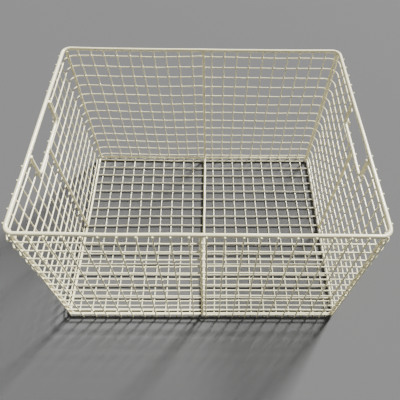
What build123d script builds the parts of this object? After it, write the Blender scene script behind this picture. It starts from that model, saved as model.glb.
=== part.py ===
from build123d import *
import math
import os

# Welded wire produce basket. Millimetres, +Z up, +X to the right-hand end, +Y to the back.
# The origin is the centre of the floor, level with the underside of the lowest floor wires.

# Wire diameters
RIM_WIRE = 5.0
HANDLE_WIRE = 4.5
FRAME_WIRE = 4.0
MESH_WIRE = 1.9

# Crossing wires sink this far into each other at their welds
WELD_SINK = 0.02

# Rim centreline: a rounded rectangle
RIM_HALF_X = 205.0
RIM_HALF_Y = 159.0
RIM_CORNER = 11.0
RIM_ABOVE_RING = 246.0

# Mesh of the walls and the floor
PITCH = 19.05
ROWS = 13
TOP_ROW_BELOW_RIM = 14.0
UPRIGHTS_PER_HALF = 38
SEAM_TO_FIRST_UPRIGHT = 0.8 * PITCH
SEAM_GAP = 0.4
NUB = 0.8
FLOOR_CROSS_EACH_WAY = 8
FLOOR_LONG_EACH_SIDE = 10
FLOOR_WIRE_OVERHANG = 0.5

# Hand holes: a U of wire under the rim at each end, a little forward of the middle
HAND_MID_Y = -3.0
HAND_HALF_Y = 48.5
HAND_BAR_BELOW_RIM = 37.3
HAND_BEND = 8.0
ROWS_CUT = 2
JOG_BEND = 4.0
JOG_START = 2.0
JOG_LENGTH = 7.0

# Uprights of one half, numbered along the wall from the back seam to the front seam
BACK_UPRIGHTS = range(0, 11)
REAR_SIDE_UPRIGHTS = range(11, 16)
HAND_HOLE_UPRIGHTS = range(16, 21)
FRONT_SIDE_UPRIGHTS = range(21, 27)
FRONT_UPRIGHTS = range(27, UPRIGHTS_PER_HALF)

# Wire layers, measured outward from the rim's centreline
UPRIGHT_OUT = RIM_WIRE / 2 + MESH_WIRE / 2 - WELD_SINK
ROW_OUT = UPRIGHT_OUT - MESH_WIRE + WELD_SINK
FRAME_OUT = ROW_OUT - MESH_WIRE / 2 - FRAME_WIRE / 2 + WELD_SINK
HANDLE_OUT = ROW_OUT - MESH_WIRE / 2 - HANDLE_WIRE / 2 + WELD_SINK

# Centreline heights, from the table up
LONG_Z = MESH_WIRE / 2
CROSS_Z = LONG_Z + MESH_WIRE - WELD_SINK
RING_Z = CROSS_Z + MESH_WIRE / 2 + FRAME_WIRE / 2 - WELD_SINK
RIM_Z = RING_Z + RIM_ABOVE_RING
HAND_BAR_Z = RIM_Z - HAND_BAR_BELOW_RIM
UNDER_RIM_Z = RIM_Z - RIM_WIRE / 2 + WELD_SINK
ON_RING_Z = RING_Z + FRAME_WIRE / 2 - WELD_SINK

# The hoop bends round the inside of the ring and touches it
HOOP_BEND = (FRAME_WIRE - WELD_SINK) / (math.sqrt(2) - 1)

# Centres of the corner arcs, which all the layers share
CORNER_X = RIM_HALF_X - RIM_CORNER
CORNER_Y = RIM_HALF_Y - RIM_CORNER

SIDES = (("left", -1), ("right", 1))


def row_height(number):
    """Centreline height of a wall row, counted down from 1 at the top."""
    return RIM_Z - TOP_ROW_BELOW_RIM - (number - 1) * PITCH


def upright_place(number):
    """Plan position of an upright of the right half, measured along the wall from the back seam."""
    along = SEAM_TO_FIRST_UPRIGHT + number * PITCH
    corner = RIM_CORNER + UPRIGHT_OUT
    quarter = corner * math.pi / 2
    if along <= CORNER_X:
        return along, CORNER_Y + corner
    along -= CORNER_X
    if along <= quarter:
        turn = along / corner
        return CORNER_X + corner * math.sin(turn), CORNER_Y + corner * math.cos(turn)
    along -= quarter
    if along <= 2 * CORNER_Y:
        return CORNER_X + corner, CORNER_Y - along
    along -= 2 * CORNER_Y
    if along <= quarter:
        turn = along / corner
        return CORNER_X + corner * math.cos(turn), -CORNER_Y - corner * math.sin(turn)
    along -= quarter
    return CORNER_X - along, -CORNER_Y - corner


def add_bent_wire(points, bend, diameter, closed=False):
    """Adds a round wire along the points, bent to one radius at each, to the part being built."""
    with BuildLine() as centreline:
        FilletPolyline(*points, radius=bend, close=closed)
    with BuildSketch(Plane(origin=centreline.line @ 0, z_dir=centreline.line % 0)) as section:
        Circle(diameter / 2)
    sweep(section.sketch, path=centreline.line)


def rounded_loop(out, height, diameter):
    """A closed wire parallel to the rim's centreline, the given distance outside it."""
    x = RIM_HALF_X + out
    y = RIM_HALF_Y + out
    with BuildPart() as loop:
        corners = [(x, y, height), (x, -y, height), (-x, -y, height), (-x, y, height)]
        add_bent_wire(corners, RIM_CORNER + out, diameter, closed=True)
    return loop


def corner_post(side, end):
    """Post on the ring's corner arc; side is -1 or 1 in X and end is -1 or 1 in Y."""
    reach = (RIM_CORNER + FRAME_OUT) * math.sqrt(0.5)
    with BuildPart() as post:
        with BuildSketch(Plane.XY.offset(ON_RING_Z)):
            with Locations((side * (CORNER_X + reach), end * (CORNER_Y + reach))):
                Circle(FRAME_WIRE / 2)
        extrude(amount=UNDER_RIM_Z - ON_RING_Z)
    return post


def centre_hoop():
    """Wire down the back wall, across the floor inside the ring and up the front wall."""
    y = RIM_HALF_Y + FRAME_OUT
    with BuildPart() as hoop:
        points = [(0, y, UNDER_RIM_Z), (0, y, RING_Z), (0, -y, RING_Z), (0, -y, UNDER_RIM_Z)]
        add_bent_wire(points, HOOP_BEND, FRAME_WIRE)
    return hoop


def side_rib(side):
    """Straight wire from the ring up to the bar of the hand hole."""
    top = HAND_BAR_Z - HANDLE_WIRE / 2 + WELD_SINK
    with BuildPart() as rib:
        with BuildSketch(Plane.XY.offset(ON_RING_Z)):
            with Locations((side * (RIM_HALF_X + FRAME_OUT), HAND_MID_Y)):
                Circle(FRAME_WIRE / 2)
        extrude(amount=top - ON_RING_Z)
    return rib


def hand_hole_wire(side):
    """U of wire hanging under the rim: a leg, the bar the hand takes, and a leg."""
    x = side * (RIM_HALF_X + HANDLE_OUT)
    back = HAND_MID_Y + HAND_HALF_Y
    front = HAND_MID_Y - HAND_HALF_Y
    with BuildPart() as handle:
        points = [
            (x, back, UNDER_RIM_Z),
            (x, back, HAND_BAR_Z),
            (x, front, HAND_BAR_Z),
            (x, front, UNDER_RIM_Z),
        ]
        add_bent_wire(points, HAND_BEND, HANDLE_WIRE)
    return handle


def wall_row(side, number):
    """One level of one half of the wall: whole below the hand hole, two pieces beside it."""
    x = side * (RIM_HALF_X + ROW_OUT)
    y = RIM_HALF_Y + ROW_OUT
    z = row_height(number)
    seam = side * SEAM_GAP / 2
    back_end = HAND_MID_Y + HAND_HALF_Y - HANDLE_WIRE / 2
    front_end = HAND_MID_Y - HAND_HALF_Y + HANDLE_WIRE / 2
    bend = RIM_CORNER + ROW_OUT
    with BuildPart() as row:
        if number <= ROWS_CUT:
            add_bent_wire([(seam, y, z), (x, y, z), (x, back_end, z)], bend, MESH_WIRE)
            add_bent_wire([(x, front_end, z), (x, -y, z), (seam, -y, z)], bend, MESH_WIRE)
        else:
            add_bent_wire([(seam, y, z), (x, y, z), (x, -y, z), (seam, -y, z)], bend, MESH_WIRE)
    return row


def full_uprights(side, numbers):
    """Straight uprights from the ring's underside to just above the rim's centreline."""
    foot = RING_Z - FRAME_WIRE / 2
    places = [upright_place(number) for number in numbers]
    with BuildPart() as uprights:
        with BuildSketch(Plane.XY.offset(foot)):
            with Locations([(side * x, y) for x, y in places]):
                Circle(MESH_WIRE / 2)
        extrude(amount=RIM_Z + NUB - foot)
    return uprights


def hand_hole_uprights(side, numbers):
    """Uprights that stop at the hand hole. One ends on the cut rows; the rest jog in to the bar."""
    foot = RING_Z - FRAME_WIRE / 2
    bar_x = side * (RIM_HALF_X + ROW_OUT)
    jog_z = row_height(ROWS_CUT + 1) + JOG_START
    cut_end = HAND_MID_Y + HAND_HALF_Y - HANDLE_WIRE / 2
    with BuildPart() as uprights:
        for number in numbers:
            x, y = upright_place(number)
            x = side * x
            if y > cut_end:
                with BuildSketch(Plane.XY.offset(foot)):
                    with Locations((x, y)):
                        Circle(MESH_WIRE / 2)
                extrude(amount=row_height(ROWS_CUT) + NUB - foot)
            else:
                points = [
                    (x, y, foot),
                    (x, y, jog_z),
                    (bar_x, y, jog_z + JOG_LENGTH),
                    (bar_x, y, HAND_BAR_Z + NUB),
                ]
                add_bent_wire(points, JOG_BEND, MESH_WIRE)
    return uprights


def floor_cross_wires():
    """Left-to-right floor wires, welded under the ring and the hoop."""
    reach = RIM_HALF_X + FRAME_OUT + FRAME_WIRE / 2 + FLOOR_WIRE_OVERHANG
    steps = range(-FLOOR_CROSS_EACH_WAY, FLOOR_CROSS_EACH_WAY + 1)
    with BuildPart() as wires:
        with BuildSketch(Plane.YZ.offset(-reach)):
            with Locations([(step * PITCH, CROSS_Z) for step in steps]):
                Circle(MESH_WIRE / 2)
        extrude(amount=2 * reach)
    return wires


def floor_long_wires():
    """Front-to-back floor wires, welded under the cross wires; the basket stands on them."""
    reach = RIM_HALF_Y + FRAME_OUT + FRAME_WIRE / 2 + FLOOR_WIRE_OVERHANG
    steps = [step for step in range(-FLOOR_LONG_EACH_SIDE, FLOOR_LONG_EACH_SIDE + 1) if step]
    with BuildPart() as wires:
        with BuildSketch(Plane.XZ.offset(-reach)):
            with Locations([(step * PITCH, LONG_Z) for step in steps]):
                Circle(MESH_WIRE / 2)
        extrude(amount=2 * reach)
    return wires


def save(builder, name):
    """Names a finished sub-part and writes it out."""
    builder.part.label = name
    export_step(builder.part, f"parts/{name}.step")


os.makedirs("parts", exist_ok=True)
save(rounded_loop(0, RIM_Z, RIM_WIRE), "rim")
save(rounded_loop(FRAME_OUT, RING_Z, FRAME_WIRE), "bottom_ring")
save(centre_hoop(), "centre_hoop")
save(floor_cross_wires(), "floor_cross_wires")
save(floor_long_wires(), "floor_long_wires")
for name, side in SIDES:
    save(corner_post(side, 1), f"back_{name}_post")
    save(corner_post(side, -1), f"front_{name}_post")
    save(side_rib(side), f"{name}_side_rib")
    save(hand_hole_wire(side), f"{name}_hand_hole_wire")
    for number in range(1, ROWS + 1):
        save(wall_row(side, number), f"{name}_row_{number:02d}")
    save(full_uprights(side, BACK_UPRIGHTS), f"back_{name}_uprights")
    save(full_uprights(side, REAR_SIDE_UPRIGHTS), f"{name}_side_rear_uprights")
    save(hand_hole_uprights(side, HAND_HOLE_UPRIGHTS), f"{name}_side_hand_hole_uprights")
    save(full_uprights(side, FRONT_SIDE_UPRIGHTS), f"{name}_side_front_uprights")
    save(full_uprights(side, FRONT_UPRIGHTS), f"front_{name}_uprights")
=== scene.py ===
"""Looks of the welded wire produce basket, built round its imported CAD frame.

Each CAD piece gives way to hand-bent coated wires with beads at their welds. A half wall is a strip
that runs from the seam at the back centre, round the rear corner, along the side, round the front
corner and to the seam at the front centre. Its side is -1 at the left and 1 at the right.
"""

import math
import random

import bpy
import numpy as np
from mathutils import Matrix, Vector


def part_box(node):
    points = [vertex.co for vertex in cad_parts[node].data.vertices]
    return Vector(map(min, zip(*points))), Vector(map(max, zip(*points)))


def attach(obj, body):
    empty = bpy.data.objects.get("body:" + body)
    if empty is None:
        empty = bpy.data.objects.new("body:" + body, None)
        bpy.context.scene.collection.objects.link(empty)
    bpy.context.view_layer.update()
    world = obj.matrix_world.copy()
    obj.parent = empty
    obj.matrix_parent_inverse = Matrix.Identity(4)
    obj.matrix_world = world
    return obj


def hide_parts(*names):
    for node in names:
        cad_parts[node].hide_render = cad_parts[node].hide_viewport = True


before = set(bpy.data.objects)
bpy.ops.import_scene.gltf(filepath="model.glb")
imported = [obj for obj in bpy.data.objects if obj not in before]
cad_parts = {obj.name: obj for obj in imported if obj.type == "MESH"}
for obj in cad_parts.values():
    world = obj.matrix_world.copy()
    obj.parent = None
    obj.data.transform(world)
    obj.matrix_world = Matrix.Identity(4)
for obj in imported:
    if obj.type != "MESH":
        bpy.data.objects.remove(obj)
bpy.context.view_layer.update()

BODY = "basket"
SIDES = (("left", -1), ("right", 1))
ENDS = (("front", -1), ("back", 1))
MM = 0.001
UP = np.array((0.0, 0.0, 1.0))

# ---------------------------------------------------------------- sizes read from the frame

RIM_LOW, RIM_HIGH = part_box("rim")
RIM_R = (RIM_HIGH.z - RIM_LOW.z) / 2
RIM_Z = (RIM_HIGH.z + RIM_LOW.z) / 2
HALF_X = RIM_HIGH.x - RIM_R
HALF_Y = RIM_HIGH.y - RIM_R
RING_LOW, RING_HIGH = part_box("bottom_ring")
FRAME_R = (RING_HIGH.z - RING_LOW.z) / 2
RING_Z = (RING_HIGH.z + RING_LOW.z) / 2
FRAME_OUT = RING_HIGH.x - FRAME_R - HALF_X
ROWS = sum(node.startswith("left_row_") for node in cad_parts)
ROW_BOXES = [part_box(f"left_row_{number:02d}") for number in range(1, ROWS + 1)]
MESH_R = (ROW_BOXES[0][1].z - ROW_BOXES[0][0].z) / 2
ROW_Z = [(low.z + high.z) / 2 for low, high in ROW_BOXES]
PITCH = ROW_Z[0] - ROW_Z[1]
ROW_OUT = ROW_BOXES[0][1].y - MESH_R - HALF_Y
SEAM = abs(ROW_BOXES[0][1].x)
BACK_LOW, BACK_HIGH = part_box("back_right_uprights")
UPRIGHT_OUT = BACK_HIGH.y - MESH_R - HALF_Y
FIRST_UPRIGHT = BACK_LOW.x + MESH_R
UPRIGHT_FOOT = BACK_LOW.z
UPRIGHT_TOP = BACK_HIGH.z
HAND_LOW, HAND_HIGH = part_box("right_hand_hole_wire")
HAND_R = (HAND_HIGH.x - HAND_LOW.x) / 2
HAND_OUT = (HAND_HIGH.x + HAND_LOW.x) / 2 - HALF_X
HAND_BACK = HAND_HIGH.y - HAND_R
HAND_FRONT = HAND_LOW.y + HAND_R
HAND_TOP = HAND_HIGH.z
BAR_Z = HAND_LOW.z + HAND_R
RIB_LOW, RIB_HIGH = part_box("right_side_rib")
RIB_Y = (RIB_LOW.y + RIB_HIGH.y) / 2
POST_LOW, POST_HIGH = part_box("back_right_post")
CROSS_LOW, CROSS_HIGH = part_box("floor_cross_wires")
CROSS_Z = (CROSS_LOW.z + CROSS_HIGH.z) / 2
LONG_LOW, LONG_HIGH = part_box("floor_long_wires")
LONG_Z = (LONG_LOW.z + LONG_HIGH.z) / 2

# Sizes that the boxes don't give: bends at the wires' centre lines, and the cut uprights' jog to the bar
RIM_CORNER = 11 * MM
HAND_BEND = 8 * MM
HOOP_BEND = 9.6 * MM
JOG_START = 2 * MM
JOG_LENGTH = 7 * MM
# Rows that the hand hole cuts, and the floor wires' places in steps of the pitch
ROWS_CUT = 2
CROSS_STEPS = range(-8, 9)
LONG_STEPS = [step for step in range(-10, 11) if step]
# Uprights of a half wall, numbered from the back seam: those in the back wall, the short one at the
# hand hole's rear leg, those up to its bar, the one at its front leg, the two beside the front corner
UPRIGHTS = 38
BACK_UPRIGHTS = 11
SHORT_UPRIGHT = 16
LEG_UPRIGHT = 21
BAR_UPRIGHTS = range(SHORT_UPRIGHT + 1, LEG_UPRIGHT)
CORNER_UPRIGHTS = (26, 27)

CORNER_X = HALF_X - RIM_CORNER
CORNER_Y = HALF_Y - RIM_CORNER
STRIP_R = RIM_CORNER + UPRIGHT_OUT
QUARTER = STRIP_R * math.pi / 2
SIDE_START = CORNER_X + QUARTER
SIDE_END = SIDE_START + 2 * CORNER_Y
STRIP = SIDE_END + QUARTER + CORNER_X
HAND_START = SIDE_START + CORNER_Y - HAND_BACK
HAND_END = SIDE_START + CORNER_Y - HAND_FRONT
NUB = UPRIGHT_TOP - RIM_Z
STEP = PITCH / 4

# ---------------------------------------------------------------- listed unevenness
# Lengths are in mm. Where the two sides differ, -1 is the left one and 1 the right one.

# How far the frame is out of square: (x, y, z) at the floor and at the rim, front then back. The
# shifts go on past the frame, out to SQUARE_REACH times its half length.
OUT_OF_SQUARE = np.array((
    (((0.8, -1.2, 0), (-0.5, 0.5, -0.8)), ((-1.5, 1.2, 0), (-0.3, -0.3, 0.4))),     # left end
    (((-1.5, -1.3, 0), (1, -1.7, -0.9)), ((-0.3, -1.3, 0), (-1.2, -1.1, 0.2))),     # middle
    (((1.8, -1, 0), (0.7, -2.2, -1.7)), ((1.4, -0.5, 0), (0.8, -1.7, -2.5))),       # right end
))
SQUARE_REACH = 1.1
# How far the rim dips, by place along its front and back runs, and how deep below it the dip ends
RIM_DIP_PLACES = (-200, -100, -20, 100, 200)
RIM_DIP = {"front": (1.4, 1.9, 0, 0.2, -0.5), "back": (0.4, 1.9, 2.4, 1.8, 0.3)}
RIM_DIP_DEPTH = 13
# How far to the right of the middle the centre hoop stands, at the floor and at the rim, in the front
# wall (-1) and in the back wall (1)
HOOP_SHIFT = {-1: (4.4, 2.8), 1: (3.1, 4.0)}
# The bars of the hand holes shifted up
BAR_RISE = {-1: -1.6, 1: 2.3}
# Uprights shifted along the strip, at the floor and at the rim: in the back wall, under the bar of
# the hand hole and in front of the hole. The first of these shifts fades out at the floor round the
# rear corner, up to the upright BACK_SHIFT_END and over as many as BACK_SHIFT_FADE.
BACK_SHIFT = {-1: (-5.0, 0.0), 1: (0.5, 0.8)}
BACK_SHIFT_END, BACK_SHIFT_FADE = 15, 6
HAND_SHIFT = {-1: (0.0, 1.2), 1: (-2.0, 3.2)}
FRONT_SIDE_SHIFT = {-1: (0.0, 0.0), 1: (-2.4, -2.4)}
# Single uprights that stand out of line, at the hand hole's front leg and at the front left corner
OUT_OF_LINE = {(-1, LEG_UPRIGHT): (-3.5, -4.8), (1, LEG_UPRIGHT): (-5.5, -2.5),
               (-1, CORNER_UPRIGHTS[1]): (0.0, 2.5)}
# Spread of each upright's own random shift, and how much lower they end in the back wall, and the
# short one at the right end
UPRIGHT_SPREAD = 0.8
BACK_TOPS_LOWER = 1.0
SHORT_TOP_LOWER = 1.2
# Uprights without a bead at their top
BARE_TOPS = ((-1, SHORT_UPRIGHT), (1, SHORT_UPRIGHT), (-1, LEG_UPRIGHT))
# Rows shifted up: the top row and the bottom row, and those between in proportion
ROW_RISE = {-1: (-1.0, 1.5), 1: (-1.0, 0.4)}
# How the rows rise and sag besides, by distance from the back seam
SAG_PLACES = (0, 12, 60, 120, 178, 240)
SAG = {-1: (1.2, 0.4, -1.2, 0, 1.6, 0), 1: (0.5, 0.1, 0, -0.4, 0.2, 0)}
# The same again in the front wall: rows shifted up, by their number from the top, and how they rise
# and sag, by distance from the front seam
FRONT_RISE_ROWS = (0, 2, 6, 11, 12)
FRONT_RISE = {-1: (-2.0, -3.4, -2.0, -1.2, 0), 1: (0.5, 0, 2.0, 2.5, 0.5)}
FRONT_SAG_PLACES = (0, 60, 150)
FRONT_SAG = {-1: (1.5, 0, 0), 1: (-1.0, 0.3, 0)}
# How far the side walls bulge, from the rear corner to the front corner, and how far from the rim,
# the ring, the hand hole's legs and its bar the bulge is whole
BULGE_PLACES = (0, 110, 220, 296)
BULGE = {-1: (1.0, 0.4, 0, 1.0), 1: (2.8, 0.7, 3.0, 2.5)}
BULGE_RIM, BULGE_RING, BULGE_LEG, BULGE_BAR = 30, 60, 15, 14
# How far the left side of the bottom ring bows in, at the places of BULGE_PLACES, how high the mesh
# goes in with it, and how far the foot of the rib stands in
RING_IN = (0.7, 1.8, 1.1, 0.2)
RING_IN_HEIGHT = 40
RIB_FOOT_IN = {-1: 2.3, 1: 0.0}
# The hand hole wire shifted out, its front leg shifted forward, the row under its bar lifted, and
# where the cut rows end, from the centre of its rear leg
HAND_WIRE_SHIFT = {-1: 0.0, 1: -1.0}
HAND_LEG_SHIFT = {-1: 0.0, 1: 1.8}
ROW_LIFT = {-1: 2.0, 1: 1.3}
ROW_END = {-1: -1.0, 1: -0.6}
# How far the top row stands off the front corners as a loose loop, how much less each row below it
# does, what part of that a loop droops, and the loop that is too wide to be welded to the post
LOOP = {-1: (3.2, 0.42), 1: (1.4, 0.4)}
LOOP_DROOP = 0.5
LOOSE_LOOP = 0.5
# Floor cross wires shifted back, and the left ends of the middle ones shifted forward
CROSS_SHIFT_STEPS, CROSS_SHIFT = (-8, -4, 1, 8), (2.3, 3.9, 3.2, -0.8)
TILT_STEPS, TILT_WEIGHTS = (-5, -1, 2, 5), (0, 1, 1, 0)
TILT_PLACES, TILT = (-205, -60), (2.8, 0)
# Floor long wires shifted to the right, and skewed: straight in front of the skew's start, and on
# their own line at its end
LONG_SHIFT_STEPS, LONG_SHIFT = (-10, -7, -1, 10), (-1.3, 0, 1, 0)
LONG_SKEW = 0.018
LONG_SKEW_START, LONG_SKEW_END = -30, 67

# ---------------------------------------------------------------- random unevenness

# Parts of a smooth wave: share of its size, and repeats in its length
WAVE_PARTS = ((0.6, 1), (0.35, 2), (0.3, 5))
# Size and length of the waves along each kind of wire; along the rim and ring, parts of their length
UPRIGHT_WAVE = (0.35 * MM, 160 * MM)
ROW_WAVE = (0.45 * MM, 260 * MM)
CROSS_WAVE = (0.3 * MM, 240 * MM)
LONG_WAVE = (0.35 * MM, 220 * MM)
RIM_WAVE = 0.3 * MM
HOOP_WAVE = (0.35 * MM, 150 * MM)
POST_WAVE = (0.3 * MM, 150 * MM)
HAND_WAVE = (0.25 * MM, 90 * MM)
# Ripples in a wire's thickness, as a share of its radius: in the rim and ring, and in other frame wires
LOOP_RIPPLE = 0.012
WIRE_RIPPLE = (0.008, 45 * MM)
# Least and greatest size of a bead, as a share of its named size
BEAD_SPREAD = (0.9, 1.12)

random.seed(19)


def share(value):
    """The value, but not below 0 or above 1."""
    return min(1.0, max(0.0, value))


def ease(t):
    """Smooth step from 0 to 1."""
    return t * t * (3 - 2 * t)


def wander(size, wave):
    """A smooth random wave, as a function of the distance along a wire; it repeats after one wave."""
    terms = [(size * part, 2 * math.pi * times / wave, random.uniform(0, 2 * math.pi))
             for part, times in WAVE_PARTS]
    return lambda s: sum(reach * np.sin(rate * s + phase) for reach, rate, phase in terms)


def upright_shift(side, i):
    """How far upright i is out of its place at the floor and at the rim, in mm."""
    foot = BACK_SHIFT[side][0] * share((BACK_SHIFT_END - i) / BACK_SHIFT_FADE)
    shift = (0.0, 0.0)
    if i < BACK_UPRIGHTS:
        shift = (0.0, BACK_SHIFT[side][1])
    elif i in BAR_UPRIGHTS:
        shift = HAND_SHIFT[side]
    elif LEG_UPRIGHT < i <= CORNER_UPRIGHTS[0]:
        shift = FRONT_SIDE_SHIFT[side]
    shift = OUT_OF_LINE.get((side, i), shift)
    return foot + shift[0], shift[1]


upright_ends, upright_wave, row_wave = {}, {}, {}
for name, side in SIDES:
    for i in range(UPRIGHTS):
        foot, top = (random.gauss(0, UPRIGHT_SPREAD) + shift for shift in upright_shift(side, i))
        upright_ends[side, i] = foot * MM, top * MM
        upright_wave[side, i] = wander(*UPRIGHT_WAVE)
    for r in range(ROWS):
        row_wave[side, r] = wander(*ROW_WAVE)
cross_wave = [wander(*CROSS_WAVE) for _ in CROSS_STEPS]
long_wave = [wander(*LONG_WAVE) for _ in LONG_STEPS]

# ---------------------------------------------------------------- places


def settle(points):
    """Moves points of the square basket to where the uneven one has them."""
    x = points[:, 0] / HALF_X
    y = (points[:, 1] / HALF_Y + 1) / 2
    z = np.clip((points[:, 2] - RING_Z) / (RIM_Z - RING_Z), 0, 1)
    moved = points.copy()
    left, right = np.clip(-x, 0, SQUARE_REACH), np.clip(x, 0, SQUARE_REACH)
    for i, across in enumerate((left, 1 - np.abs(x), right)):
        for j, deep in enumerate((1 - y, y)):
            for k, high in enumerate((1 - z, z)):
                moved += (across * deep * high)[:, None] * (OUT_OF_SQUARE[i, j, k] * MM)
    near_rim = np.clip((points[:, 2] - RIM_Z) / (RIM_DIP_DEPTH * MM) + 1, 0, 1)
    front, back = (np.interp(points[:, 0] / MM, RIM_DIP_PLACES, RIM_DIP[end]) for end, _ in ENDS)
    moved[:, 2] -= (front * (1 - y) + back * y) * near_rim * MM
    return moved


def hoop_x(end, z):
    """Place of the centre hoop in a wall, front (-1) or back (1), at a height."""
    t = share((z - RING_Z) / (RIM_Z - RING_Z))
    return (HOOP_SHIFT[end][0] * (1 - t) + HOOP_SHIFT[end][1] * t) * MM


def upright_along(side, i, z):
    """Where upright i crosses height z, along the strip."""
    foot, top = upright_ends[side, i]
    t = (z - RING_Z) / (RIM_Z - RING_Z)
    return FIRST_UPRIGHT + i * PITCH + foot + (top - foot) * t + upright_wave[side, i](z)


def row_height(side, r, along):
    """Height of row r at a place along the strip."""
    rise = np.interp(r, (0, ROWS - 1), ROW_RISE[side]) + np.interp(along / MM, SAG_PLACES, SAG[side])
    front_rise = np.interp(r, FRONT_RISE_ROWS, FRONT_RISE[side])
    front_rise += np.interp((STRIP - along) / MM, FRONT_SAG_PLACES, FRONT_SAG[side])
    rise += front_rise * ease(share((along - SIDE_END) / QUARTER))
    if r == ROWS_CUT and HAND_START < along < HAND_END:
        past = (along - HAND_START) / (HAND_END - HAND_START)
        rise += ROW_LIFT[side] * math.sin(math.pi * past) ** 0.5
    return ROW_Z[r] + rise * MM + row_wave[side, r](along)


def corner_loop(side, r, along):
    """How far row r stands off the front corner there, between the uprights on either side of it."""
    top, less = LOOP[side]
    size = max(0.0, top - less * r) * MM
    before, after = (upright_along(side, i, ROW_Z[r]) for i in CORNER_UPRIGHTS)
    if not before < along < after:
        return 0.0
    return size * math.sin(math.pi * (along - before) / (after - before)) ** 2


def past_corner(along):
    """How far round either corner a place is, in quarter turns; 0 along the side."""
    return max(0.0, SIDE_START - along, along - SIDE_END) / QUARTER


def side_profile(along, values):
    """Value there of a profile given in mm at BULGE_PLACES, fading out round the corners."""
    past = (along - SIDE_START) / MM
    return float(np.interp(past, BULGE_PLACES, values)) * MM * (1 - share(past_corner(along))) ** 2


def ring_in(side, along):
    """How far a side of the bottom ring bows in there."""
    return side_profile(along, RING_IN) if side < 0 else 0.0


def bulge(side, along, z):
    """How far a side wall's mesh bulges out there, less how far it goes in with the ring.

    The hand hole's wire holds it: the bulge is half as large beside a leg and none between the legs,
    and whole again below the bar.
    """
    near_rim = share((RIM_Z - z) / (BULGE_RIM * MM))
    near_ring = share((z - RING_Z) / (BULGE_RING * MM))
    y = CORNER_Y - (along - SIDE_START)
    from_leg = max(0.0, HAND_FRONT - y, y - HAND_BACK) / (BULGE_LEG * MM)
    beside = share(0.5 + 0.5 * from_leg) if from_leg else 0.0
    below = share((bar_height(side) - z) / (BULGE_BAR * MM))
    free = near_rim * near_ring * max(beside, below)
    inward = ring_in(side, along) * (1 - share((z - RING_Z) / (RING_IN_HEIGHT * MM)))
    return side_profile(along, BULGE[side]) * free - inward


def bar_height(side):
    """Height of the bar of a hand hole."""
    return BAR_Z + BAR_RISE[side] * MM


def cross_y(step):
    """Place of a floor cross wire, front to back."""
    return step * PITCH + float(np.interp(step, CROSS_SHIFT_STEPS, CROSS_SHIFT)) * MM


def cross_line(number, x):
    """Place of a floor cross wire at x, with its tilt at the left end and its own wave."""
    step = CROSS_STEPS[number]
    tilt = float(np.interp(step, TILT_STEPS, TILT_WEIGHTS) * np.interp(x / MM, TILT_PLACES, TILT)) * MM
    return cross_y(step) + cross_wave[number](x) - tilt


def long_line(number, y):
    """Place of a floor long wire at y, left to right."""
    shift = float(np.interp(LONG_STEPS[number], LONG_SHIFT_STEPS, LONG_SHIFT)) * MM
    skew = LONG_SKEW * (LONG_SKEW_END * MM - max(y, LONG_SKEW_START * MM))
    return LONG_STEPS[number] * PITCH + shift + skew + long_wave[number](y)


# ---------------------------------------------------------------- shapes

# Sections of the dome at a wire's end: distance past the end, and radius, as shares of the wire's own
DOME = ((0.4, 0.8), (0.55, 0.35))
# Sides of each kind of wire, points round a corner of a row and round a bend, and the extra points
# near the ends of a frame wire, as shares of its first step
MESH_SIDES, HAND_SIDES, FRAME_SIDES, RIM_SIDES = 12, 20, 18, 24
CORNER_POINTS, BEND_POINTS = 9, 10
END_POINTS = (0.15, 0.3, 0.5, 0.75)
# Points in each half of the rim and the ring, and the length of their butt weld
LOOP_POINTS = 300
BUTT_WELD_LENGTH = 3 * MM
# How much a wire spreads at a butted end, and over what length
FLARE, FLARE_LENGTH = 0.38, 1.6 * MM
# Reach across the wires and depth of the beads: where mesh wires cross, where they touch the frame,
# the rib or the ring, and over the rim or the bar
MESH_BEAD = (1.5 * MM, 1.25 * MM)
FRAME_BEAD = (1.6 * MM, 1.0 * MM)
RIB_BEAD = (1.2 * MM, 1.0 * MM)
RING_BEAD = (1.8 * MM, 1.1 * MM)
TOP_BEAD = (1.5 * MM, 1.2 * MM)
# A bead's parts round and from bottom to top, and how much less it reaches between the wires' lines
BEAD_SPOKES, BEAD_LEVELS = 12, 6
BEAD_WAIST = 0.2


def wall_point(side, along, z, out):
    """Point of a half wall: along the strip from the back seam, at a height, outside the rim's line."""
    r = RIM_CORNER + out
    if along <= CORNER_X:
        x, y = along, CORNER_Y + r
    elif along <= SIDE_START:
        turn = (along - CORNER_X) / STRIP_R
        x, y = CORNER_X + r * math.sin(turn), CORNER_Y + r * math.cos(turn)
    elif along <= SIDE_END:
        x, y = CORNER_X + r, CORNER_Y - (along - SIDE_START)
    elif along <= SIDE_END + QUARTER:
        turn = (along - SIDE_END) / STRIP_R
        x, y = CORNER_X + r * math.cos(turn), -CORNER_Y - r * math.sin(turn)
    else:
        x, y = CORNER_X - (along - SIDE_END - QUARTER), -CORNER_Y - r
    return np.array((side * x, y, z))


def mesh_point(side, along, z, out):
    """Point of a half wall's mesh, with the wall's bulge."""
    return wall_point(side, along, z, out + bulge(side, along, z))


def along_side(y):
    """Distance along the strip of a place on the side wall."""
    return SIDE_START + CORNER_Y - y


def unit(vector):
    """The vector at length 1."""
    return vector / np.linalg.norm(vector)


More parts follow.
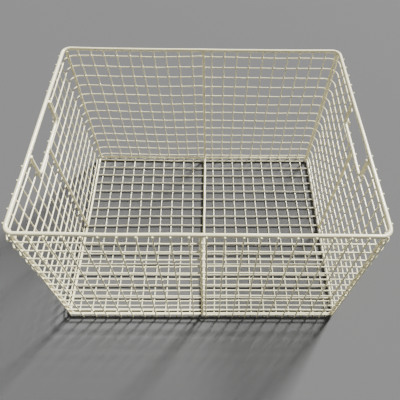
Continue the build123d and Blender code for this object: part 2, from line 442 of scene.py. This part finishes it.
def tube(points, radii, sides, closed=False):
    """Vertices and faces of a round wire through the points, with domed ends unless it is closed."""
    points = np.array(points, float)
    radii = np.broadcast_to(np.asarray(radii, float), (len(points),)).copy()
    if not closed:
        start, end = unit(points[0] - points[1]), unit(points[-1] - points[-2])
        before = [points[0] + start * radii[0] * reach for reach, _ in reversed(DOME)]
        after = [points[-1] + end * radii[-1] * reach for reach, _ in DOME]
        points = np.vstack([before, points, after])
        before = [radii[0] * width for _, width in reversed(DOME)]
        after = [radii[-1] * width for _, width in DOME]
        radii = np.concatenate([before, radii, after])
    if closed:
        tangents = np.roll(points, -1, 0) - np.roll(points, 1, 0)
    else:
        tangents = np.gradient(points, axis=0)
    tangents /= np.linalg.norm(tangents, axis=1)[:, None]
    normal = np.cross(tangents[0], UP)
    if np.linalg.norm(normal) < 0.5:
        normal = np.cross(tangents[0], (0.0, 1.0, 0.0))
    angles = np.arange(sides) * 2 * math.pi / sides
    verts = []
    for point, tangent, radius in zip(points, tangents, radii):
        normal = unit(normal - tangent * normal.dot(tangent))
        binormal = np.cross(tangent, normal)
        ring = np.outer(np.cos(angles), normal) + np.outer(np.sin(angles), binormal)
        verts.append(point + radius * ring)
    count = len(points)
    faces = []
    for i in range(count if closed else count - 1):
        a, b = i * sides, (i + 1) % count * sides
        for k in range(sides):
            n = (k + 1) % sides
            faces.append((a + k, a + n, b + n, b + k))
    if not closed:
        faces.append(tuple(range(sides - 1, -1, -1)))
        faces.append(tuple((count - 1) * sides + k for k in range(sides)))
    return np.vstack(verts), faces


def weld(centre, along, across, size, depth):
    """Vertices and faces of the coating that fills the four corners where two wires cross."""
    along = unit(np.asarray(along, float))
    across = np.asarray(across, float)
    across = unit(across - along * along.dot(across))
    normal = np.cross(along, across)
    size = size * random.uniform(*BEAD_SPREAD)
    verts = [centre - normal * depth]
    for level in range(1, BEAD_LEVELS):
        tilt = math.pi * level / BEAD_LEVELS
        for k in range(BEAD_SPOKES):
            turn = 2 * math.pi * k / BEAD_SPOKES
            reach = size * math.sin(tilt) * (1 - BEAD_WAIST + BEAD_WAIST * abs(math.cos(2 * turn)))
            flat = math.cos(turn) * along + math.sin(turn) * across
            verts.append(centre + flat * reach - normal * depth * math.cos(tilt))
    verts.append(centre + normal * depth)
    faces = []
    last = 1 + (BEAD_LEVELS - 2) * BEAD_SPOKES
    for k in range(BEAD_SPOKES):
        n = (k + 1) % BEAD_SPOKES
        faces.append((0, 1 + n, 1 + k))
        for level in range(BEAD_LEVELS - 2):
            a, b = 1 + level * BEAD_SPOKES, 1 + (level + 1) * BEAD_SPOKES
            faces.append((a + k, a + n, b + n, b + k))
        faces.append((last + k, last + n, len(verts) - 1))
    return np.array(verts), faces


def wire(points, radii, sides=MESH_SIDES, closed=False):
    """A wire as make_piece takes it."""
    return tube(points, radii, sides, closed), False


def bead(centre, along, across, size=MESH_BEAD):
    """A weld as make_piece takes it; size is its reach and its depth."""
    return weld(np.asarray(centre, float), along, across, *size), True


def wall_bead(side, along, z, out, size=MESH_BEAD):
    """A bead in the wall's own plane."""
    centre = mesh_point(side, along, z, out)
    ahead = mesh_point(side, along + 1 * MM, z, out)
    return bead(centre, ahead - centre, UP, size)


def floor_bead(x, y, z, size=MESH_BEAD):
    """A bead in the floor's plane."""
    return bead((x, y, z), (1, 0, 0), (0, 1, 0), size)


def reach_along(points):
    """Distance of each point from the first, along the wire."""
    return np.concatenate([[0], np.cumsum(np.linalg.norm(np.diff(points, axis=0), axis=1))])


def flared(points, radius):
    """Radii of a frame wire that spreads into the weld at its butted ends."""
    reach = reach_along(points)
    flare = np.exp(-reach / FLARE_LENGTH) + np.exp(-(reach[-1] - reach) / FLARE_LENGTH)
    ripple = wander(*WIRE_RIPPLE)
    return radius * (1 + FLARE * flare + ripple(reach))


def straight(start, end, step):
    """Evenly spaced points from just after start to end."""
    count = max(1, round(float(np.linalg.norm(end - start)) / step))
    return [start + (end - start) * (k + 1) / count for k in range(count)]


def route(corners, bend, step):
    """Points along straight runs joined by arcs of one radius, close together at both ends."""
    corners = [np.array(c, float) for c in corners]
    points = [corners[0]]
    for before, corner, after in zip(corners, corners[1:], corners[2:]):
        u, v = unit(before - corner), unit(after - corner)
        half = math.acos(max(-1.0, min(1.0, float(u.dot(v))))) / 2
        cut = bend / math.tan(half)
        centre = corner + unit(u + v) * bend / math.sin(half)
        start, end = corner + u * cut, corner + v * cut
        points += straight(points[-1], start, step)
        a, b = start - centre, end - centre
        sweep = math.pi - 2 * half
        for k in range(BEND_POINTS):
            t = sweep * (k + 1) / BEND_POINTS
            points.append(centre + (a * math.sin(sweep - t) + b * math.sin(t)) / math.sin(sweep))
    points += straight(points[-1], corners[-1], step)
    first, last = points[1] - points[0], points[-2] - points[-1]
    near = [points[0] + first * t for t in END_POINTS]
    far = [points[-1] + last * t for t in reversed(END_POINTS)]
    return [points[0]] + near + points[1:-1] + far + [points[-1]]


def bowed(points, size, wave):
    """A hand-bent wire: it wanders a little across its own line, but not at its ends."""
    points = np.array(points)
    reach = reach_along(points)
    hold = np.sin(math.pi * reach / reach[-1])[:, None]
    moves = [wander(size, wave)(reach) for _ in range(3)]
    return points + hold * np.stack(moves, axis=1)


def bent_wire(points, radius, wave, sides=FRAME_SIDES):
    """A hand-bent frame wire, spread at its welded ends."""
    return wire(bowed(points, *wave), flared(points, radius), sides)


def added(name, data):
    """A new object in the scene."""
    new = bpy.data.objects.new(name, data)
    bpy.context.scene.collection.objects.link(new)
    return new


def make_piece(name, shapes, material, slot, *nodes):
    """Joins wires and welds into one piece, which stands for the CAD nodes."""
    verts, faces, pooled, start = [], [], [], 0
    for (points, quads), is_weld in shapes:
        verts.append(points)
        faces += [tuple(start + v for v in face) for face in quads]
        pooled.append(np.full(len(points), 1.0 if is_weld else 0.0))
        start += len(points)
    mesh = bpy.data.meshes.new(name)
    mesh.from_pydata(settle(np.vstack(verts)).tolist(), [], faces)
    mesh.polygons.foreach_set("use_smooth", [True] * len(mesh.polygons))
    mesh.attributes.new("pooled", "FLOAT", "POINT").data.foreach_set("value", np.concatenate(pooled))
    mesh.materials.append(material)
    mesh.update()
    piece = added(name, mesh)
    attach(piece, BODY)
    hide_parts(*nodes)


# ---------------------------------------------------------------- materials


def noise(tree, place, scale, detail):
    """Output of a noise texture."""
    texture = tree.nodes.new("ShaderNodeTexNoise")
    texture.inputs["Scale"].default_value = scale
    texture.inputs["Detail"].default_value = detail
    tree.links.new(place, texture.inputs["Vector"])
    return texture.outputs["Fac"]


def ramp(tree, value, low, high):
    """Colour that follows the value between two stops, each of them a value and its colour."""
    colours = tree.nodes.new("ShaderNodeValToRGB")
    for stop, (position, colour) in zip(colours.color_ramp.elements, (low, high)):
        stop.position = position
        stop.color = (*colour, 1)
    tree.links.new(value, colours.inputs["Fac"])
    return colours.outputs["Color"]


def covered(tree, under, colour, amount):
    """The colour under, covered with another one where the amount says."""
    cover = tree.nodes.new("ShaderNodeMix")
    cover.data_type = "RGBA"
    cover.inputs["B"].default_value = (*colour, 1)
    tree.links.new(amount, cover.inputs["Factor"])
    tree.links.new(under, cover.inputs["A"])
    return cover.outputs["Result"]


def tinted(colour, *factors):
    """The colour with each of its parts times its factor."""
    return [part * factor for part, factor in zip(colour, factors)]


def coated(name, base, shade, scale, bump):
    """Glossy cream coating with cloudy colour, fine specks, thicker coating at welds and orange peel."""
    material = bpy.data.materials.new(name)
    material.use_nodes = True
    tree = material.node_tree
    shader = tree.nodes["Principled BSDF"]
    shader.inputs["IOR"].default_value = 1.5
    shader.inputs["Coat Weight"].default_value = 0.5
    shader.inputs["Coat Roughness"].default_value = 0.14
    place = tree.nodes.new("ShaderNodeTexCoord").outputs["Object"]

    clouds = ramp(tree, noise(tree, place, scale, detail=4), (0.34, shade), (0.6, base))
    specks = ramp(tree, noise(tree, place, scale=900, detail=2), (0.66, (0, 0, 0)), (0.78, (1, 1, 1)))
    dusted = covered(tree, clouds, tinted(shade, 0.62, 0.58, 0.5), specks)
    pooled = tree.nodes.new("ShaderNodeAttribute")
    pooled.attribute_name = "pooled"
    colour = covered(tree, dusted, tinted(base, 1.02, 1.01, 0.96), pooled.outputs["Fac"])
    tree.links.new(colour, shader.inputs["Base Color"])

    peel = noise(tree, place, scale=620, detail=3)
    gloss = tree.nodes.new("ShaderNodeMapRange")
    gloss.inputs["To Min"].default_value = 0.26
    gloss.inputs["To Max"].default_value = 0.46
    tree.links.new(peel, gloss.inputs["Value"])
    tree.links.new(gloss.outputs["Result"], shader.inputs["Roughness"])
    height = tree.nodes.new("ShaderNodeBump")
    height.inputs["Strength"].default_value = bump
    height.inputs["Distance"].default_value = 0.15 * MM
    tree.links.new(peel, height.inputs["Height"])
    tree.links.new(height.outputs["Normal"], shader.inputs["Normal"])
    return material


CREAM = (0.80, 0.757, 0.49)
heavy = coated("heavy_wire_coating", CREAM, (0.72, 0.67, 0.42), scale=30, bump=0.35)
framing = coated("frame_wire_coating", CREAM, (0.70, 0.65, 0.41), scale=34, bump=0.35)
meshing = coated("mesh_wire_coating", CREAM, (0.71, 0.66, 0.42), scale=42, bump=0.3)
# The floor wires' coating is darker all over than the walls' cream: painted shade, for the dimmer light
# on the basket's floor
shaded_flooring = coated("floor_wire_painted_shade_coating", (0.70, 0.665, 0.46), (0.61, 0.57, 0.37), scale=42, bump=0.3)

# ---------------------------------------------------------------- walls


def crossing(side, i, r):
    """Where upright i meets row r: distance along the strip, and height."""
    z = ROW_Z[r]
    for _ in range(3):
        along = upright_along(side, i, z)
        z = row_height(side, r, along)
    return along, z


def meets(side, i, r):
    """Whether upright i reaches up to row r; those at the hand hole end below the cut rows."""
    if i in BAR_UPRIGHTS:
        return r >= ROWS_CUT
    if i == SHORT_UPRIGHT:
        return r >= (ROWS_CUT if side < 0 else ROWS_CUT - 1)
    return True


def rib_bead(side, r):
    """The weld of row r to the side rib, which leans in on its way down."""
    lean = RIB_FOOT_IN[side] * MM * (1 - ROW_Z[r] / bar_height(side))
    along = along_side(RIB_Y)
    return wall_bead(side, along, row_height(side, r, along), ROW_OUT - MESH_R - lean / 2, RIB_BEAD)


def row_wire(side, r, start, end):
    """A stretch of one row, with more points round the corners."""
    places = np.linspace(start, end, round((end - start) / STEP) + 1)
    turn = np.linspace(0, 1, CORNER_POINTS) * QUARTER
    bends = np.concatenate([CORNER_X + turn, SIDE_END + turn])
    bends = bends[(bends > start) & (bends < end)]
    points = []
    for along in np.unique(np.concatenate([places, bends])):
        off = corner_loop(side, r, along)
        z = row_height(side, r, along) - LOOP_DROOP * off
        points.append(mesh_point(side, along, z, ROW_OUT + off))
    return wire(points, MESH_R)


def row_piece(name, side, r):
    """One row of one half wall with its welds to the uprights and to the frame wires."""
    node = f"{name}_row_{r + 1:02d}"
    back = side * hoop_x(1, ROW_Z[r]) + SEAM
    front = STRIP - side * hoop_x(-1, ROW_Z[r]) - SEAM
    front_corner = SIDE_END + QUARTER / 2
    touches = [back + MESH_R, CORNER_X + QUARTER / 2, front - MESH_R]
    if corner_loop(side, r, front_corner) < LOOSE_LOOP * MM:
        touches.append(front_corner)
    if r < ROWS_CUT:
        spans = [(back, HAND_START + ROW_END[side] * MM), (HAND_END - HAND_R, front)]
        touches += [HAND_START, HAND_END]
        shapes = []
    else:
        spans = [(back, front)]
        shapes = [rib_bead(side, r)]
    shapes += [row_wire(side, r, start, end) for start, end in spans]
    for i in range(UPRIGHTS):
        if meets(side, i, r):
            shapes.append(wall_bead(side, *crossing(side, i, r), (ROW_OUT + UPRIGHT_OUT) / 2))
    for along in touches:
        shapes.append(wall_bead(side, along, row_height(side, r, along), ROW_OUT - MESH_R, FRAME_BEAD))
    make_piece(node + "_wire", shapes, meshing, "mesh_wire", node)


def upright_top(side, i):
    """Height at which upright i ends."""
    if i in BAR_UPRIGHTS or i == SHORT_UPRIGHT and side < 0:
        return bar_height(side) + NUB
    if i == SHORT_UPRIGHT:
        return crossing(side, i, ROWS_CUT - 1)[1] + NUB - SHORT_TOP_LOWER * MM
    if i == LEG_UPRIGHT and side < 0:
        return RIM_Z - RIM_R
    if i < BACK_UPRIGHTS:
        return UPRIGHT_TOP - BACK_TOPS_LOWER * MM
    return UPRIGHT_TOP


def upright_shapes(side, i):
    """One upright, straight or jogged in to the bar of the hand hole, with the bead at its top."""
    top = upright_top(side, i)
    at = (UPRIGHT_OUT + RIM_R) / 2
    jog, inward = top, 0.0
    if i in BAR_UPRIGHTS:
        at = (ROW_OUT + HAND_OUT + HAND_R) / 2 + HAND_WIRE_SHIFT[side] * MM
        jog = ROW_Z[ROWS_CUT] + JOG_START
        inward = ROW_OUT - UPRIGHT_OUT + HAND_WIRE_SHIFT[side] * MM
    points = []
    for z in np.linspace(UPRIGHT_FOOT, top, round((top - UPRIGHT_FOOT) / STEP) + 1):
        out = UPRIGHT_OUT + inward * ease(share((z - jog) / JOG_LENGTH))
        points.append(mesh_point(side, upright_along(side, i, z), z, out))
    shapes = [wire(points, MESH_R)]
    if (side, i) not in BARE_TOPS:
        shapes.append(wall_bead(side, upright_along(side, i, top), top - NUB, at, TOP_BEAD))
    return shapes


UPRIGHT_GROUPS = (("back_{}_uprights", 0, BACK_UPRIGHTS),
                  ("{}_side_rear_uprights", BACK_UPRIGHTS, SHORT_UPRIGHT),
                  ("{}_side_hand_hole_uprights", SHORT_UPRIGHT, LEG_UPRIGHT),
                  ("{}_side_front_uprights", LEG_UPRIGHT, CORNER_UPRIGHTS[1]),
                  ("front_{}_uprights", CORNER_UPRIGHTS[1], UPRIGHTS))

for name, side in SIDES:
    for r in range(ROWS):
        row_piece(name, side, r)
    for pattern, first, last in UPRIGHT_GROUPS:
        node = pattern.format(name)
        shapes = [shape for i in range(first, last) for shape in upright_shapes(side, i)]
        make_piece(node + "_wires", shapes, meshing, "mesh_wire", node)

# ---------------------------------------------------------------- floor


def cross_shapes(number):
    """One cross wire with its welds to the long wires, the ring and the hoop."""
    reach = np.linspace(CROSS_LOW.x, CROSS_HIGH.x, round((CROSS_HIGH.x - CROSS_LOW.x) / STEP) + 1)
    shapes = [wire([np.array((x, cross_line(number, x), CROSS_Z)) for x in reach], MESH_R)]
    y = cross_y(CROSS_STEPS[number])
    for j in range(len(LONG_STEPS)):
        x = long_line(j, y)
        shapes.append(floor_bead(x, cross_line(number, x), (CROSS_Z + LONG_Z) / 2))
    on_hoop = np.interp(y, (-HALF_Y, HALF_Y), (hoop_x(-1, 0), hoop_x(1, 0)))
    for x in (-HALF_X - FRAME_OUT, on_hoop, HALF_X + FRAME_OUT):
        shapes.append(floor_bead(x, cross_line(number, x), CROSS_Z + MESH_R, RING_BEAD))
    return shapes


def long_shape(number):
    """One long wire."""
    reach = np.linspace(LONG_LOW.y, LONG_HIGH.y, round((LONG_HIGH.y - LONG_LOW.y) / STEP) + 1)
    return wire([np.array((long_line(number, y), y, LONG_Z)) for y in reach], MESH_R)


shapes = [shape for number in range(len(CROSS_STEPS)) for shape in cross_shapes(number)]
make_piece("floor_cross_wires_coated", shapes, shaded_flooring, "mesh_wire", "floor_cross_wires")
shapes = [long_shape(number) for number in range(len(LONG_STEPS))]
make_piece("floor_long_wires_coated", shapes, shaded_flooring, "mesh_wire", "floor_long_wires")

# ---------------------------------------------------------------- frame wires


def loop(out, z, radius, sides, seam):
    """A closed wire round the basket; seam is how much thicker its butt weld is."""
    halves = [(1, s) for s in np.linspace(0, STRIP, LOOP_POINTS, endpoint=False)]
    halves += [(-1, s) for s in np.linspace(STRIP, 0, LOOP_POINTS, endpoint=False)]
    around = np.linspace(0, 2 * STRIP, 2 * LOOP_POINTS, endpoint=False)
    rise, push = wander(RIM_WAVE, 2 * STRIP / 3), wander(RIM_WAVE, STRIP)
    thick = wander(LOOP_RIPPLE, STRIP / 6)
    points, radii = [], []
    for (side, s), place in zip(halves, around):
        inward = ring_in(side, s) if z < RIM_Z / 2 else 0.0
        points.append(wall_point(side, s, z + rise(place), out + push(place) - inward))
        from_seam = min(place, 2 * STRIP - place)
        radii.append(radius * (1 + thick(place) + seam * math.exp(-(from_seam / BUTT_WELD_LENGTH) ** 2)))
    return wire(points, radii, sides, closed=True)


def frame_piece(node, shape, material=framing, slot="frame_wire"):
    """A frame wire's piece, which stands for the CAD node."""
    make_piece(node + "_coated", [shape], material, slot, node)


def hoop_shape():
    """The centre hoop, down the back wall, across the floor and up the front wall."""
    y, top = HALF_Y + FRAME_OUT, RIM_Z - RIM_R
    points = route([(0, y, top), (0, y, RING_Z), (0, -y, RING_Z), (0, -y, top)], HOOP_BEND, STEP)
    for point in points:
        t = (point[1] / y + 1) / 2
        point[0] = hoop_x(-1, point[2]) * (1 - t) + hoop_x(1, point[2]) * t
    return bent_wire(points, FRAME_R, HOOP_WAVE)


def post_shape(side, end):
    """A corner post."""
    x = side * (POST_LOW.x + POST_HIGH.x) / 2
    y = end * (POST_LOW.y + POST_HIGH.y) / 2
    return bent_wire(route([(x, y, POST_LOW.z), (x, y, POST_HIGH.z)], 0, STEP), FRAME_R, POST_WAVE)


def rib_shape(side):
    """A side rib, from the ring up to the hand hole's bar."""
    x = side * (HALF_X + FRAME_OUT)
    foot = x - side * RIB_FOOT_IN[side] * MM
    top = bar_height(side) - HAND_R
    return bent_wire(route([(foot, RIB_Y, RIB_LOW.z), (x, RIB_Y, top)], 0, STEP), FRAME_R, POST_WAVE)


def hand_shape(side):
    """The wire of a hand hole: a leg under the rim, the bar and the other leg."""
    x = side * (HALF_X + HAND_OUT + HAND_WIRE_SHIFT[side] * MM)
    bar = bar_height(side)
    front = HAND_FRONT - HAND_LEG_SHIFT[side] * MM
    corners = [(x, HAND_BACK, HAND_TOP), (x, HAND_BACK, bar), (x, front, bar), (x, front, HAND_TOP)]
    return bent_wire(route(corners, HAND_BEND, STEP), HAND_R, HAND_WAVE, HAND_SIDES)


frame_piece("rim", loop(0, RIM_Z, RIM_R, RIM_SIDES, seam=0.05), heavy, "heavy_wire")
frame_piece("bottom_ring", loop(FRAME_OUT, RING_Z, FRAME_R, FRAME_SIDES, seam=0.07))
frame_piece("centre_hoop", hoop_shape())
for name, side in SIDES:
    for end_name, end in ENDS:
        frame_piece(f"{end_name}_{name}_post", post_shape(side, end))
    frame_piece(f"{name}_side_rib", rib_shape(side))
    frame_piece(f"{name}_hand_hole_wire", hand_shape(side), heavy, "heavy_wire")

# ---------------------------------------------------------------- stage, light and camera

# The floor's half width and shade, and the strength of the light from all round
FLOOR_REACH = 6
FLOOR_SHADE = 0.09
WORLD_STRENGTH = 0.24
# The key light shines from behind on the right; the fill light stands in front on the left
KEY_FROM, KEY_ENERGY, KEY_ANGLE = Vector((2.5, 3.0, 3.5)), 14, 0.2
FILL_FROM, FILL_ENERGY, FILL_SIZE = Vector((-1.3, -1.2, 1.2)), 5, 1.2
FILL_TARGET = Vector((0, 0, 0.1))
# The camera looks down over the front wall; its angles are in radians
CAMERA_FROM = (0.0143, -0.3755, 0.6261)
YAW, PITCH_DOWN, ROLL = 0.0023, 0.9645, 0.005
SENSOR, LENS, SHIFT = 36, 36.89, -0.028


def aimed(direction):
    """Rotation of a light that shines in a direction."""
    return direction.to_track_quat("-Z", "Y").to_euler()


floor_mesh = bpy.data.meshes.new("floor")
corners = [(x * FLOOR_REACH, y * FLOOR_REACH, 0) for x, y in ((-1, -1), (1, -1), (1, 1), (-1, 1))]
floor_mesh.from_pydata(corners, [], [(0, 1, 2, 3)])
floor = added("floor", floor_mesh)
ground = bpy.data.materials.new("floor")
ground.use_nodes = True
surface = ground.node_tree.nodes["Principled BSDF"]
surface.inputs["Base Color"].default_value = (FLOOR_SHADE, FLOOR_SHADE, FLOOR_SHADE, 1)
surface.inputs["Roughness"].default_value = 0.9
surface.inputs["Specular IOR Level"].default_value = 0.1
floor_mesh.materials.append(ground)

world = bpy.data.worlds.new("world")
bpy.context.scene.world = world
world.use_nodes = True
background = world.node_tree.nodes["Background"]
background.inputs["Color"].default_value = (1, 1, 1, 1)
background.inputs["Strength"].default_value = WORLD_STRENGTH

key_light = bpy.data.lights.new("key", "SUN")
key_light.energy = KEY_ENERGY
key_light.angle = KEY_ANGLE
key = added("key", key_light)
key.rotation_euler = aimed(-KEY_FROM)
fill_light = bpy.data.lights.new("fill", "AREA")
fill_light.energy = FILL_ENERGY
fill_light.size = FILL_SIZE
fill = added("fill", fill_light)
fill.location = FILL_FROM
fill.rotation_euler = aimed(FILL_TARGET - FILL_FROM)

camera_data = bpy.data.cameras.new("camera")
camera_data.sensor_width = SENSOR
camera_data.lens = LENS
camera_data.shift_x = SHIFT
camera = added("camera", camera_data)
turn = (Matrix.Rotation(-YAW, 4, "Z") @ Matrix.Rotation(math.pi / 2 - PITCH_DOWN, 4, "X")
        @ Matrix.Rotation(ROLL, 4, "Z"))
camera.matrix_world = Matrix.Translation(CAMERA_FROM) @ turn
bpy.context.scene.camera = camera
